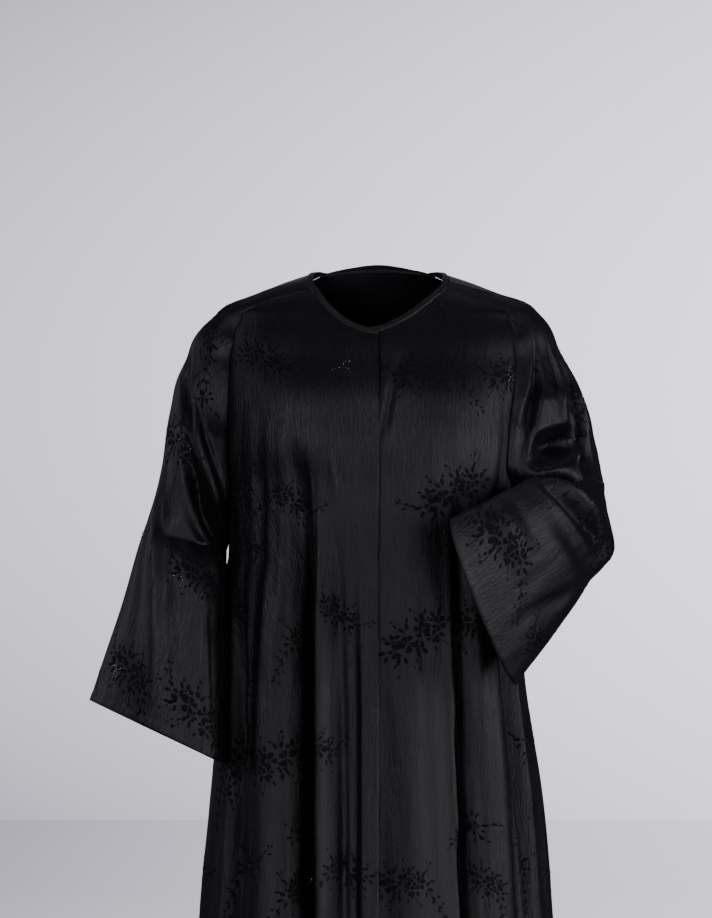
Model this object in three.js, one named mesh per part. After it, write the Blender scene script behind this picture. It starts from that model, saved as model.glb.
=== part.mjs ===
// Abaya cloak in its worn form: a loose floor-length front-opening cloak with raglan sleeves.
//
// Millimetres, +Z up. The wearer faces -Y, so the wearer's right is -X. The origin is where the
// garment is carried: the side of the neck's height on the body's centre line.
//
// Every piece of cloth is one closed thin wall. Its outer face is a grid of points on a formula
// surface, and its inner face is that grid moved in by the cloth's thickness.

import * as THREE from 'three';

// ---------------------------------------------------------------- driving dimensions

const CLOTH = 1.3; // wall thickness of the modelled cloth
const SEAM_GAP = 0.3; // open gap between two pieces along a seam
const HEM_Z = -1450; // height of the floor-length hem
const UNDERLAP = 28; // how far the left front runs under the right front
const LAP_DROP = 4.2; // how far the left front lies behind the right front at the lap
const LAP_EASE = 34; // width over which the left front comes forward again
const SQUARENESS = 2.4; // exponent of the body's rings: 2 is an ellipse, more is squarer
const BINDING_WIDTH = 10.5; // width of the neck binding
const BINDING_GAP = 0.8; // open gap between the binding and the neck edges
const FRONT_NECK_DROP = 55; // how far the centre front neck lies under its raglan corner
const BACK_NECK_RISE = 7; // how far the centre back neck lies over its raglan corner
const FRONT_CORNER_Z = -20; // height where the front raglan seam meets the neck
const BACK_CORNER_Z = 3; // height where the back raglan seam meets the neck

const CLOTH_COLOUR = 0x1c1b1f;
const BINDING_COLOUR = 0x161519;

// Rings round the body: half width to the wearer's right and left, depth to the front and back.
const BODY_RINGS = [
  { z: 10, right: 84, left: 84, front: 48, back: 60 },
  { z: -20, right: 120, left: 118, front: 58, back: 70 },
  { z: -39, right: 167, left: 165, front: 66, back: 77 },
  { z: -57, right: 183, left: 180, front: 75, back: 84 },
  { z: -105, right: 195, left: 189, front: 98, back: 98 },
  { z: -180, right: 196, left: 188, front: 122, back: 112 },
  { z: -260, right: 192, left: 184, front: 130, back: 117 },
  { z: -345, right: 186, left: 180, front: 134, back: 120 },
  { z: -372, right: 191, left: 180, front: 135, back: 121 },
  { z: -440, right: 195, left: 181, front: 139, back: 124 },
  { z: -520, right: 198, left: 184, front: 143, back: 127 },
  { z: -640, right: 204, left: 198, front: 151, back: 134 },
  { z: -800, right: 217, left: 209, front: 163, back: 146 },
  { z: HEM_Z, right: 266, left: 262, front: 208, back: 190 },
];

// Folds of the skirt: the angle round the body in degrees (0 front, 90 the wearer's left) at the
// head and at the hem, the heights where it starts and is full, its reach to each side in degrees,
// and its depth: a ridge stands out, a trough is negative.
const BODY_FOLDS = [
  { head: -66, hem: -50, start: -330, full: -620, before: 6, after: 4, depth: -26 },
  { head: -52, hem: -38, start: -240, full: -600, before: 9, after: 9, depth: 15 },
  { head: -40, hem: -21, start: -180, full: -500, before: 5, after: 5.5, depth: -46 },
  { head: -29, hem: -14, start: -250, full: -560, before: 5, after: 7, depth: 13 },
  { head: -15, hem: -10, start: -300, full: -640, before: 9, after: 6, depth: -15 },
  { head: 16, hem: 14, start: -300, full: -700, before: 14, after: 16, depth: 8 },
  { head: 41, hem: 31, start: -210, full: -580, before: 3.5, after: 3.5, depth: -32 },
  { head: 52, hem: 46, start: -280, full: -640, before: 8, after: 9, depth: 12 },
  { head: 62, hem: 73, start: -300, full: -600, before: 5, after: 6.5, depth: -32 },
  { head: 88, hem: 88, start: -420, full: -760, before: 9, after: 9, depth: 10 },
  { head: 110, hem: 106, start: -300, full: -680, before: 8, after: 9, depth: -18 },
  { head: 128, hem: 126, start: -240, full: -660, before: 10, after: 11, depth: 13 },
  { head: 147, hem: 146, start: -260, full: -620, before: 7, after: 8, depth: -26 },
  { head: 168, hem: 166, start: -200, full: -600, before: 11, after: 10, depth: 13 },
  { head: -172, hem: -174, start: -320, full: -680, before: 8, after: 8, depth: -18 },
  { head: -153, hem: -156, start: -220, full: -600, before: 10, after: 10, depth: 13 },
  { head: -136, hem: -137, start: -260, full: -620, before: 7, after: 7, depth: -26 },
  { head: -118, hem: -116, start: -300, full: -700, before: 11, after: 11, depth: 12 },
  { head: -99, hem: -96, start: -440, full: -760, before: 8, after: 8, depth: -14 },
  { head: -82, hem: -76, start: -440, full: -740, before: 8, after: 9, depth: 7 },
];

// The two rounded places where the front rests on the figure.
const CHEST_REST = { angle: 37, angleReach: 30, z: -185, zReach: 105, depth: 8 };

// Distance of each raglan seam from the centre line, by height, down to the underarm.
const RAGLAN_RIGHT = {
  front: [
    { z: FRONT_CORNER_Z, x: 78 },
    { z: -39, x: 149 },
    { z: -57, x: 170 },
    { z: -86, x: 180 },
    { z: -120, x: 184 },
    { z: -201, x: 185 },
    { z: -260, x: 182 },
  ],
  back: [
    { z: BACK_CORNER_Z, x: 68 },
    { z: -28, x: 128 },
    { z: -57, x: 164 },
    { z: -100, x: 178 },
    { z: -200, x: 183 },
    { z: -260, x: 182 },
  ],
  underarm: -345,
};
const RAGLAN_LEFT = {
  front: [
    { z: FRONT_CORNER_Z, x: 78 },
    { z: -39, x: 144 },
    { z: -57, x: 163 },
    { z: -86, x: 169 },
    { z: -120, x: 170 },
    { z: -192, x: 162 },
    { z: -240, x: 158 },
  ],
  back: [
    { z: BACK_CORNER_Z, x: 68 },
    { z: -28, x: 128 },
    { z: -57, x: 162 },
    { z: -100, x: 174 },
    { z: -180, x: 177 },
    { z: -240, x: 176 },
  ],
  underarm: -310,
};

// The shoulder part of each sleeve, keyed by the share of the raglan seam from the neck to the
// underarm: x, y, z is the outer line down the arm, half is half the depth from front to back, and
// sweep is the most its arch turns to each side in degrees, which keeps it flat on the shoulder.
const RIGHT_CAP = [
  { share: 0, x: -82, y: 0, z: 0, half: 50, sweep: 60 },
  { share: 0.09, x: -150, y: 0, z: -23, half: 50, sweep: 48 },
  { share: 0.21, x: -204, y: 0, z: -52, half: 52, sweep: 52 },
  { share: 0.4, x: -240, y: 0, z: -106, half: 56, sweep: 78 },
  { share: 0.6, x: -259, y: -2, z: -170, half: 62, sweep: 112 },
  { share: 0.79, x: -270, y: -6, z: -242, half: 65, sweep: 180 },
  { share: 1, x: -289, y: -10, z: -312, half: 66, sweep: 180 },
];
const LEFT_CAP = [
  { share: 0, x: 82, y: 0, z: 0, half: 50, sweep: 60 },
  { share: 0.1, x: 150, y: 0, z: -23, half: 50, sweep: 48 },
  { share: 0.23, x: 201, y: 0, z: -48, half: 52, sweep: 52 },
  { share: 0.385, x: 229, y: 2, z: -99, half: 58, sweep: 78 },
  { share: 0.53, x: 255, y: 4, z: -146, half: 62, sweep: 106 },
  { share: 0.72, x: 271, y: 4, z: -204, half: 66, sweep: 180 },
  { share: 1, x: 282, y: -6, z: -262, half: 68, sweep: 180 },
];

// The tube of each sleeve, keyed by the share from the neck to the cuff: its outer line, its inner
// line (the underarm seam) and the half width from its front or top edge to its back or bottom edge.
const RIGHT_TUBE = [
  {
    along: 0.645, outX: -289, outY: -10, outZ: -312,
    inX: -188, inY: 0, inZ: -345, wideX: 0, wideY: 66, wideZ: 0,
  },
  {
    along: 0.69, outX: -298, outY: -12, outZ: -339,
    inX: -187, inY: -38, inZ: -372, wideX: -4, wideY: 65, wideZ: 0,
  },
  {
    along: 0.8, outX: -316, outY: -16, outZ: -404,
    inX: -191, inY: -60, inZ: -440, wideX: -10, wideY: 65, wideZ: 0,
  },
  {
    along: 0.9, outX: -337, outY: -19, outZ: -468,
    inX: -191, inY: -72, inZ: -522, wideX: -13, wideY: 67, wideZ: 0,
  },
  {
    along: 1.0, outX: -357, outY: -22, outZ: -530,
    inX: -192, inY: -80, inZ: -602, wideX: -16, wideY: 70, wideZ: 0,
  },
];
const LEFT_TUBE = [
  {
    along: 0.5, outX: 282, outY: -6, outZ: -262,
    inX: 184, inY: 0, inZ: -310, wideX: 2, wideY: 68, wideZ: -12,
  },
  {
    along: 0.64, outX: 270, outY: -82, outZ: -296,
    inX: 202, inY: -8, inZ: -308, wideX: 38, wideY: 60, wideZ: -48,
  },
  {
    along: 0.76, outX: 234, outY: -132, outZ: -322,
    inX: 184, inY: -50, inZ: -328, wideX: 44, wideY: 46, wideZ: -62,
  },
  {
    along: 0.88, outX: 180, outY: -176, outZ: -358,
    inX: 160, inY: -92, inZ: -364, wideX: 47, wideY: 38, wideZ: -78,
  },
  {
    along: 1.0, outX: 114, outY: -221, outZ: -401,
    inX: 136, inY: -137, inZ: -402, wideX: 40, wideY: 27, wideZ: -100,
  },
];

// Folds of the sleeves: each runs from (around, along) to (around, along), where around goes from
// -1 at the front seam over 0, the outer line, to 1 at the back seam.
const RIGHT_SLEEVE_FOLDS = [
  { around0: -0.4, along0: 0.28, around1: -0.98, along1: 0.61, reach: 0.09, depth: 7 },
  { around0: -0.42, along0: 0.43, around1: -0.98, along1: 0.69, reach: 0.08, depth: -9 },
  { around0: -0.14, along0: 0.42, around1: -0.46, along1: 0.98, reach: 0.12, depth: 7 },
  { around0: 0.4, along0: 0.3, around1: 0.86, along1: 0.62, reach: 0.08, depth: -8 },
  { around0: 0.4, along0: 0.55, around1: 0.42, along1: 0.97, reach: 0.12, depth: 7 },
];
const LEFT_SLEEVE_FOLDS = [
  { around0: -0.64, along0: 0.15, around1: -0.93, along1: 0.38, reach: 0.09, depth: -7 },
  { around0: -0.42, along0: 0.12, around1: -0.52, along1: 0.36, reach: 0.1, depth: 7 },
  { around0: -0.8, along0: 0.385, around1: -0.34, along1: 0.345, reach: 0.07, depth: -14 },
  { around0: -0.45, along0: 0.7, around1: 0.28, along1: 0.71, reach: 0.06, depth: -7 },
  { around0: 0.1, along0: 0.6, around1: 0.36, along1: 0.7, reach: 0.08, depth: -6 },
];

// Heights of the grid rows at a panel's raglan and side seam; below the underarm all pieces share them.
const SHOULDER_ROWS = 10;
const SKIRT_ROW_STEPS = [0, 0.035, 0.085, 0.145, 0.215, 0.3, 0.39, 0.49, 0.59, 0.69, 0.79, 0.89, 1];
const RAGLAN_SPACING = 1.25; // more than 1 sets the rows closer near the neck
const FRONT_COLUMNS = 18;
const BACK_COLUMNS = 28;
const TUBE_ROWS = 11;
const SLEEVE_COLUMNS = 20;
const BINDING_STEP = 2; // the binding takes every second point of the neck edges
const BINDING_UPRIGHT = 2.5; // how much the binding turns up out of the panels' own slope

// ---------------------------------------------------------------- small maths

const radians = THREE.MathUtils.degToRad;
const degrees = THREE.MathUtils.radToDeg;
const vector = (x, y, z) => new THREE.Vector3(x, y, z);

function smoothStep(from, to, value) {
  const t = Math.min(1, Math.max(0, (value - from) / (to - from)));
  return t * t * (3 - 2 * t);
}

// A soft bump: 1 in the middle, flat at both ends, 0 beyond one.
function bump(t) {
  return Math.abs(t) < 1 ? (1 - t * t) ** 2 : 0;
}

// Reads one column of a table as a smooth curve through its rows.
function readTable(rows, key, column, value) {
  const rising = rows[rows.length - 1][key] > rows[0][key] ? 1 : -1;
  let i = 0;
  while (i < rows.length - 2 && (value - rows[i + 1][key]) * rising > 0) i += 1;
  const slope = (j) => {
    const a = rows[Math.max(0, j - 1)];
    const b = rows[Math.min(rows.length - 1, j + 1)];
    return (b[column] - a[column]) / (b[key] - a[key]);
  };
  const span = rows[i + 1][key] - rows[i][key];
  const t = Math.min(1, Math.max(0, (value - rows[i][key]) / span));
  const h = t * t * (3 - 2 * t);
  const start = rows[i][column] + slope(i) * span * t;
  const end = rows[i + 1][column] - slope(i + 1) * span * (1 - t);
  return start * (1 - h) + end * h;
}

const readPoint = (rows, key, value, names) => (
  vector(...names.map((name) => readTable(rows, key, name, value)))
);

// ---------------------------------------------------------------- the body's surface

// Signed difference of two angles in degrees, from -180 to 180.
const turnBetween = (a, b) => ((((a - b) % 360) + 540) % 360) - 180;

function ringSizes(z) {
  const read = (column) => readTable(BODY_RINGS, 'z', column, z);
  return { right: read('right'), left: read('left'), front: read('front'), back: read('back') };
}

// Distance from the axis to the smooth ring, before any fold.
function ringRadius(angle, z) {
  const sizes = ringSizes(z);
  const sine = Math.sin(radians(angle));
  const cosine = Math.cos(radians(angle));
  const wide = Math.abs(sine) / (sine < 0 ? sizes.right : sizes.left);
  const deep = Math.abs(cosine) / (cosine < 0 ? sizes.back : sizes.front);
  return (wide ** SQUARENESS + deep ** SQUARENESS) ** (-1 / SQUARENESS);
}

function foldDepth(angle, z) {
  let depth = 0;
  for (const fold of BODY_FOLDS) {
    const down = (z - fold.start) / (HEM_Z - fold.start);
    if (down <= 0) continue;
    const centre = fold.head + (fold.hem - fold.head) * down;
    const off = turnBetween(angle, centre);
    const t = off / (off < 0 ? fold.before : fold.after);
    depth += fold.depth * smoothStep(fold.start, fold.full, z) * bump(fold.depth < 0 ? t * t : t);
  }
  const side = (Math.abs(turnBetween(angle, 0)) - CHEST_REST.angle) / CHEST_REST.angleReach;
  return depth + CHEST_REST.depth * bump(side) * bump((z - CHEST_REST.z) / CHEST_REST.zReach);
}

// A point on the garment's body at an angle and a height, moved out by lift.
function bodyPoint(angle, z, lift = 0) {
  const radius = ringRadius(angle, z) + foldDepth(angle, z) + lift;
  return vector(radius * Math.sin(radians(angle)), -radius * Math.cos(radians(angle)), z);
}

function bodyNormal(angle, z) {
  const around = bodyPoint(angle + 0.5, z).sub(bodyPoint(angle - 0.5, z));
  const up = bodyPoint(angle, z + 2).sub(bodyPoint(angle, z - 2));
  return around.cross(up).normalize();
}

// The angle where a ring is a given distance from the centre line, on its front or its back.
function angleAt(distance, z, side, face) {
  const sizes = ringSizes(z);
  const share = Math.min(1, distance / (side < 0 ? sizes.right : sizes.left));
  const depth = (face === 'front' ? sizes.front : sizes.back) * (1 - share ** SQUARENESS) ** (1 / SQUARENESS);
  const fromFront = degrees(Math.atan2(distance, face === 'front' ? depth : -depth));
  return side * fromFront;
}

// The height on a raglan seam at a share of its way from the neck to the underarm.
const raglanHeight = (cornerZ, underarmZ, share) => cornerZ + (underarmZ - cornerZ) * share ** RAGLAN_SPACING;

// The angle of the raglan seam above the underarm and of the side seam below it.
function seamAngle(raglan, side, face, z) {
  const rows = raglan[face];
  const last = rows[rows.length - 1];
  if (z > last.z) return angleAt(readTable(rows, 'z', 'x', z), z, side, face);
  const join = angleAt(last.x, last.z, side, face);
  const t = Math.min(1, (last.z - z) / (last.z - raglan.underarm));
  return join + (side * 90 - join) * t ** 1.6;
}

// ---------------------------------------------------------------- sheets into solids

// A sheet is rows of { point, normal }; the wall it gives is closed all round.
function clothWall(name, rows, material, thickness = CLOTH) {
  const rowCount = rows.length;
  const columnCount = rows[0].length;
  const positions = [];
  for (const depth of [0, thickness]) {
    for (const row of rows) {
      for (const { point, normal } of row) {
        positions.push(...point.clone().addScaledVector(normal, -depth).toArray());
      }
    }
  }
  const outer = (i, j) => i * columnCount + j;
  const inner = (i, j) => rowCount * columnCount + outer(i, j);
  const index = [];
  const quad = (a, b, c, d) => index.push(a, b, c, a, c, d);
  for (let i = 0; i < rowCount - 1; i += 1) {
    for (let j = 0; j < columnCount - 1; j += 1) {
      quad(outer(i, j), outer(i + 1, j), outer(i + 1, j + 1), outer(i, j + 1));
      quad(inner(i, j), inner(i, j + 1), inner(i + 1, j + 1), inner(i + 1, j));
    }
  }
  for (let i = 0; i < rowCount - 1; i += 1) {
    quad(outer(i, 0), inner(i, 0), inner(i + 1, 0), outer(i + 1, 0));
    const last = columnCount - 1;
    quad(outer(i, last), outer(i + 1, last), inner(i + 1, last), inner(i, last));
  }
  for (let j = 0; j < columnCount - 1; j += 1) {
    quad(outer(0, j), outer(0, j + 1), inner(0, j + 1), inner(0, j));
    const last = rowCount - 1;
    quad(outer(last, j), inner(last, j), inner(last, j + 1), outer(last, j + 1));
  }
  const geometry = new THREE.BufferGeometry();
  geometry.setAttribute('position', new THREE.Float32BufferAttribute(positions, 3));
  geometry.setIndex(index);
  geometry.computeVertexNormals();
  const mesh = new THREE.Mesh(geometry, material);
  mesh.name = name;
  return mesh;
}

const cloth = () => new THREE.MeshStandardMaterial({ color: CLOTH_COLOUR, roughness: 0.42, metalness: 0 });
const bindingCloth = () => (
  new THREE.MeshStandardMaterial({ color: BINDING_COLOUR, roughness: 0.5, metalness: 0 })
);

// ---------------------------------------------------------------- front and back panels

// Heights of the rows along a seam: from the neck corner to the underarm, then on to the hem.
function seamHeights(cornerZ, underarmZ) {
  const heights = [];
  for (let i = 0; i < SHOULDER_ROWS; i += 1) {
    heights.push(raglanHeight(cornerZ, underarmZ, i / SHOULDER_ROWS));
  }
  return heights.concat(SKIRT_ROW_STEPS.map((step) => underarmZ + (HEM_Z - underarmZ) * step));
}

// The neck's curve dies out down the panel.
const neckCurve = (cornerZ, seamZ, share) => Math.exp((seamZ - cornerZ) / 90) * (1 - share * share);

// Half the seam gap as an angle.
const gapAngle = (angle, z) => degrees(SEAM_GAP / 2 / ringRadius(angle, z));

// How far the left front lies behind the right front near the lap.
function lapLift(angle, z) {
  const across = ringRadius(angle, z) * Math.sin(radians(angle));
  return -LAP_DROP * (1 - smoothStep(0, LAP_EASE, across));
}

function frontPanel(name, side) {
  const raglan = side < 0 ? RAGLAN_RIGHT : RAGLAN_LEFT;
  const rows = seamHeights(FRONT_CORNER_Z, raglan.underarm).map((seamZ) => {
    const row = [];
    for (let j = 0; j <= FRONT_COLUMNS; j += 1) {
      const share = j / FRONT_COLUMNS;
      const z = seamZ - FRONT_NECK_DROP * neckCurve(FRONT_CORNER_Z, seamZ, share);
      const edge = seamAngle(raglan, side, 'front', seamZ) - side * gapAngle(side * 80, z);
      const lap = side < 0 ? 0 : -degrees(UNDERLAP / ringRadius(0, z));
      const angle = lap + (edge - lap) * share;
      const lift = side < 0 ? 0 : lapLift(angle, z);
      row.push({ point: bodyPoint(angle, z, lift), normal: bodyNormal(angle, z) });
    }
    return side < 0 ? row.reverse() : row;
  });
  return { mesh: clothWall(name, rows, cloth()), rows };
}

function backPanel(name) {
  const rightZ = seamHeights(BACK_CORNER_Z, RAGLAN_RIGHT.underarm);
  const leftZ = seamHeights(BACK_CORNER_Z, RAGLAN_LEFT.underarm);
  const rows = rightZ.map((unused, i) => {
    const row = [];
    const fromLeft = seamAngle(RAGLAN_LEFT, 1, 'back', leftZ[i]) + gapAngle(90, leftZ[i]);
    const toRight = seamAngle(RAGLAN_RIGHT, -1, 'back', rightZ[i]) - gapAngle(90, rightZ[i]) + 360;
    for (let j = 0; j <= BACK_COLUMNS; j += 1) {
      const share = j / BACK_COLUMNS;
      const seamZ = leftZ[i] + (rightZ[i] - leftZ[i]) * share;
      const z = seamZ + BACK_NECK_RISE * neckCurve(BACK_CORNER_Z, seamZ, 2 * share - 1);
      const angle = fromLeft + (toRight - fromLeft) * share;
      row.push({ point: bodyPoint(angle, z), normal: bodyNormal(angle, z) });
    }
    return row;
  });
  return { mesh: clothWall(name, rows, cloth()), rows };
}

// ---------------------------------------------------------------- sleeves

const RIGHT_SLEEVE = {
  side: -1,
  raglan: RAGLAN_RIGHT,
  cap: RIGHT_CAP,
  tube: RIGHT_TUBE,
  folds: RIGHT_SLEEVE_FOLDS,
};
const LEFT_SLEEVE = {
  side: 1,
  raglan: RAGLAN_LEFT,
  cap: LEFT_CAP,
  tube: LEFT_TUBE,
  folds: LEFT_SLEEVE_FOLDS,
};

// The section of a sleeve: part of an ellipse from its front edge over its outer line to its back.
function sleeveSection(sleeve, along) {
  const underarm = sleeve.tube[0].along;
  if (along >= underarm) {
    const outer = readPoint(sleeve.tube, 'along', along, ['outX', 'outY', 'outZ']);
    const inner = readPoint(sleeve.tube, 'along', along, ['inX', 'inY', 'inZ']);
    const centre = outer.clone().add(inner).multiplyScalar(0.5);
    const wide = readPoint(sleeve.tube, 'along', along, ['wideX', 'wideY', 'wideZ']);
    return { centre, out: outer.clone().sub(centre), wide, sweep: Math.PI };
  }
  const share = along / underarm;
  const push = (CLOTH + 2 * SEAM_GAP) * smoothStep(0.7, 1, share);
  const edge = (face) => {
    const z = raglanHeight(face === 'front' ? FRONT_CORNER_Z : BACK_CORNER_Z, sleeve.raglan.underarm, share);
    const angle = seamAngle(sleeve.raglan, sleeve.side, face, z);
    const outward = (face === 'front' ? 1 : -1) * sleeve.side * gapAngle(90, z);
    return {
      point: bodyPoint(angle + outward, z + 2 * SEAM_GAP, push),
      normal: bodyNormal(angle + outward, z),
    };
  };
  const front = edge('front');
  const back = edge('back');
  const middle = front.point.clone().add(back.point).multiplyScalar(0.5);
  const halfChord = back.point.clone().sub(front.point).multiplyScalar(0.5);
  const half = Math.max(readTable(sleeve.cap, 'share', 'half', share), halfChord.length() * 1.001);
  const roundArm = Math.PI - Math.asin(halfChord.length() / half);
  const sweep = Math.min(roundArm, radians(readTable(sleeve.cap, 'share', 'sweep', share)));
  const outer = readPoint(sleeve.cap, 'share', share, ['x', 'y', 'z']);
  const out = outer.clone().sub(middle).divideScalar(1 - Math.cos(sweep));
  halfChord.divideScalar(Math.sin(sweep));
  return { centre: outer.clone().sub(out), out, wide: halfChord, sweep, front, back };
}

function sleeveFold(sleeve, around, along) {
  let depth = 0;
  for (const fold of sleeve.folds) {
    const runAround = fold.around1 - fold.around0;
    const runAlong = fold.along1 - fold.along0;
    const length = Math.hypot(runAround, runAlong);
    const t = ((around - fold.around0) * runAround + (along - fold.along0) * runAlong) / length ** 2;
    const off = ((around - fold.around0) * runAlong - (along - fold.along0) * runAround) / length;
    depth += fold.depth * bump(off / fold.reach) * bump(2 * t - 1);
  }
  return depth;
}

function sleevePoint(sleeve, around, along) {
  const section = sleeveSection(sleeve, along);
  const edge = Math.PI - 1e-9;
  const turn = around * Math.min(section.sweep, edge);
  return section.centre
    .clone()
    .addScaledVector(section.out, Math.cos(turn))
    .addScaledVector(section.wide, Math.sin(turn));
}

function sleeveNormal(sleeve, around, along) {
  const underarm = sleeve.tube[0].along;
  const low = along <= underarm ? Math.max(0, along - 0.01) : Math.max(underarm, along - 0.01);
  const high = along < underarm ? Math.min(underarm - 1e-6, along + 0.01) : Math.min(1, along + 0.01);
  const after = sleevePoint(sleeve, Math.min(1, around + 0.02), along);
  const before = sleevePoint(sleeve, Math.max(-1, around - 0.02), along);
  const across = after.sub(before);
  const down = sleevePoint(sleeve, around, high).sub(sleevePoint(sleeve, around, low));
  return across.cross(down).multiplyScalar(-sleeve.side).normalize();
}

function sleevePiece(name, sleeve) {
  const rows = [];
  const underarm = sleeve.tube[0].along;
  for (let i = 0; i <= SHOULDER_ROWS + TUBE_ROWS; i += 1) {
    const below = Math.max(0, i - SHOULDER_ROWS) / TUBE_ROWS;
    const along = (Math.min(i, SHOULDER_ROWS) / SHOULDER_ROWS) * underarm + (1 - underarm) * below;
    const section = sleeveSection(sleeve, along);
    const row = [];
    for (let j = 0; j <= SLEEVE_COLUMNS; j += 1) {
      const around = (2 * j) / SLEEVE_COLUMNS - 1;
      const point = sleevePoint(sleeve, around, along);
      let normal = sleeveNormal(sleeve, around, along);
      if (along < underarm && j === 0) normal = section.front.normal;
      if (along < underarm && j === SLEEVE_COLUMNS) normal = section.back.normal;
      point.addScaledVector(normal, sleeveFold(sleeve, around, along));
      row.push({ point, normal });
    }
    openSeam(row, along >= underarm);
    rows.push(sleeve.side < 0 ? row.reverse() : row);
  }
  return { mesh: clothWall(name, rows, cloth()), rows };
}

// Draws the two edges of a closed ring apart by the seam gap.
function openSeam(row, closed) {
  if (!closed) return;
  const first = row[0];
  const last = row[row.length - 1];
  const across = row[1].point.clone().sub(row[row.length - 2].point).normalize();
  first.point.addScaledVector(across, SEAM_GAP / 2);
  last.point.addScaledVector(across, -SEAM_GAP / 2);
  last.normal = first.normal;
}

// ---------------------------------------------------------------- neck binding

// The binding stands on the neck edges of all five pieces, from the left front's underlap round
// the back to the right front's edge.
function neckBinding(name, pieces) {
  const edge = [];
  for (const { rows } of pieces) {
    const rise = (end, j) => end.point.clone().sub(rows[1][j].point).normalize();
    const columns = rows[0].map((end, j) => ({ ...end, rise: rise(end, j) }));
    columns.pop();
    edge.push(...columns.filter((unused, j) => j % BINDING_STEP === 0));
  }
  const end = pieces[pieces.length - 1].rows;
  const corner = end[0].length - 1;
  edge.push({ ...end[0][corner], rise: end[0][corner].point.clone().sub(end[1][corner].point).normalize() });
  const rises = edge.map((unused, j) => {
    const sum = vector(0, 0, BINDING_UPRIGHT);
    for (let k = -2; k <= 2; k += 1) sum.add(edge[Math.min(edge.length - 1, Math.max(0, j + k))].rise);
    return sum.normalize();
  });
  const rowAt = (height) =>
    edge.map(({ point, normal }, j) => ({ point: point.clone().addScaledVector(rises[j], height), normal }));
  return clothWall(name, [rowAt(BINDING_GAP + BINDING_WIDTH), rowAt(BINDING_GAP)], bindingCloth());
}

const garment = new THREE.Group();
const frontRight = frontPanel('front_right', -1);
const frontLeft = frontPanel('front_left', 1);
const back = backPanel('back');
const sleeveRight = sleevePiece('sleeve_right', RIGHT_SLEEVE);
const sleeveLeft = sleevePiece('sleeve_left', LEFT_SLEEVE);
const binding = neckBinding('neck_binding', [
  { rows: frontLeft.rows },
  { rows: sleeveLeft.rows },
  { rows: back.rows },
  { rows: sleeveRight.rows },
  { rows: frontRight.rows },
]);
garment.add(frontRight.mesh, frontLeft.mesh, back.mesh, sleeveRight.mesh, sleeveLeft.mesh, binding);

export default garment;
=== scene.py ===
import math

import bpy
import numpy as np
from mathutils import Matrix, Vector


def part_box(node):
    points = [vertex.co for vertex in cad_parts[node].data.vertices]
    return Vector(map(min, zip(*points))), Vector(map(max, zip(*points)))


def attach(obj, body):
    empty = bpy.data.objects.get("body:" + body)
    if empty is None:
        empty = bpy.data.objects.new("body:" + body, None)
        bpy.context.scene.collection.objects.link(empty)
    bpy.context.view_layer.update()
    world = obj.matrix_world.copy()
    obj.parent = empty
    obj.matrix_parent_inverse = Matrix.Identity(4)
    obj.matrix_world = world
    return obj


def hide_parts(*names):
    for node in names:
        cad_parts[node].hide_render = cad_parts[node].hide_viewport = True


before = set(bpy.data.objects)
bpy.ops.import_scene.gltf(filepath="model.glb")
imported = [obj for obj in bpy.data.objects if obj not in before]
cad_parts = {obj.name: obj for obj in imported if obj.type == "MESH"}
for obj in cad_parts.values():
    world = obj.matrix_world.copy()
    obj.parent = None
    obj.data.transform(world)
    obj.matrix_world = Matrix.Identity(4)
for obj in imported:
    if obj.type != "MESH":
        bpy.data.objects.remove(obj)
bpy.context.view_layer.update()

# A worn abaya cloak in black crinkled satin. The wearer faces -Y and the wearer's left is +X.
# Every panel is one sheet on the same form as its solid, with finer folds, and then gets its
# thickness. Sprays of flowers, beads and stitches are laid on the sheets in the cloth's own
# coordinates: metres across the cloth and metres up from the hem or the cuff.

# ---------------- sizes, in metres and degrees

HEM_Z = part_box("back")[0][2]
CLOTH = 0.0010
SEAM_GAP = 0.0003
UNDERLAP = 0.028
LAP_DROP = 0.0042
LAP_EASE = 0.034
SQUARENESS = 2.4
FRONT_NECK_DROP = 0.055
BACK_NECK_RISE = 0.007
FRONT_CORNER_Z = -0.020
BACK_CORNER_Z = 0.003
NECK_CURVE_FADE = 0.090
RAGLAN_SPACING = 1.25
BINDING_WIDTH = 0.0105
BINDING_UPRIGHT = 0.5
BINDING_DROP = 0.0040
FRONT_HEM = 0.030
CUFF_HEM = 0.012
# Ripples in a sheet, a long and a short one: wavelength across, wavelength along, depth.
PANEL_RIPPLES = [(0.034, 0.16, 0.0004), (0.012, 0.06, 0.0001)]
SLEEVE_RIPPLES = [(0.030, 0.14, 0.0004), (0.011, 0.05, 0.0001)]

SHOULDER_ROWS = 66
SKIRT_ROWS = 150
TUBE_ROWS = 70
FRONT_COLUMNS = 92
BACK_COLUMNS = 156
SLEEVE_COLUMNS = 130


def table(names, rows):
    """Rows of numbers as named columns."""
    return dict(zip(names.split(), np.array(rows, dtype=float).T))


BODY_RINGS = table("z right left front back", [
    (0.01, 0.084, 0.084, 0.048, 0.06),
    (-0.02, 0.12, 0.118, 0.058, 0.07),
    (-0.039, 0.167, 0.165, 0.066, 0.077),
    (-0.057, 0.183, 0.18, 0.075, 0.084),
    (-0.105, 0.195, 0.189, 0.098, 0.098),
    (-0.18, 0.196, 0.188, 0.122, 0.112),
    (-0.26, 0.192, 0.184, 0.13, 0.117),
    (-0.345, 0.186, 0.18, 0.134, 0.12),
    (-0.372, 0.191, 0.18, 0.135, 0.121),
    (-0.44, 0.195, 0.181, 0.139, 0.124),
    (-0.52, 0.198, 0.184, 0.143, 0.127),
    (-0.64, 0.204, 0.198, 0.151, 0.134),
    (-0.8, 0.217, 0.209, 0.163, 0.146),
    (HEM_Z, 0.266, 0.262, 0.208, 0.19),
])

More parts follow.
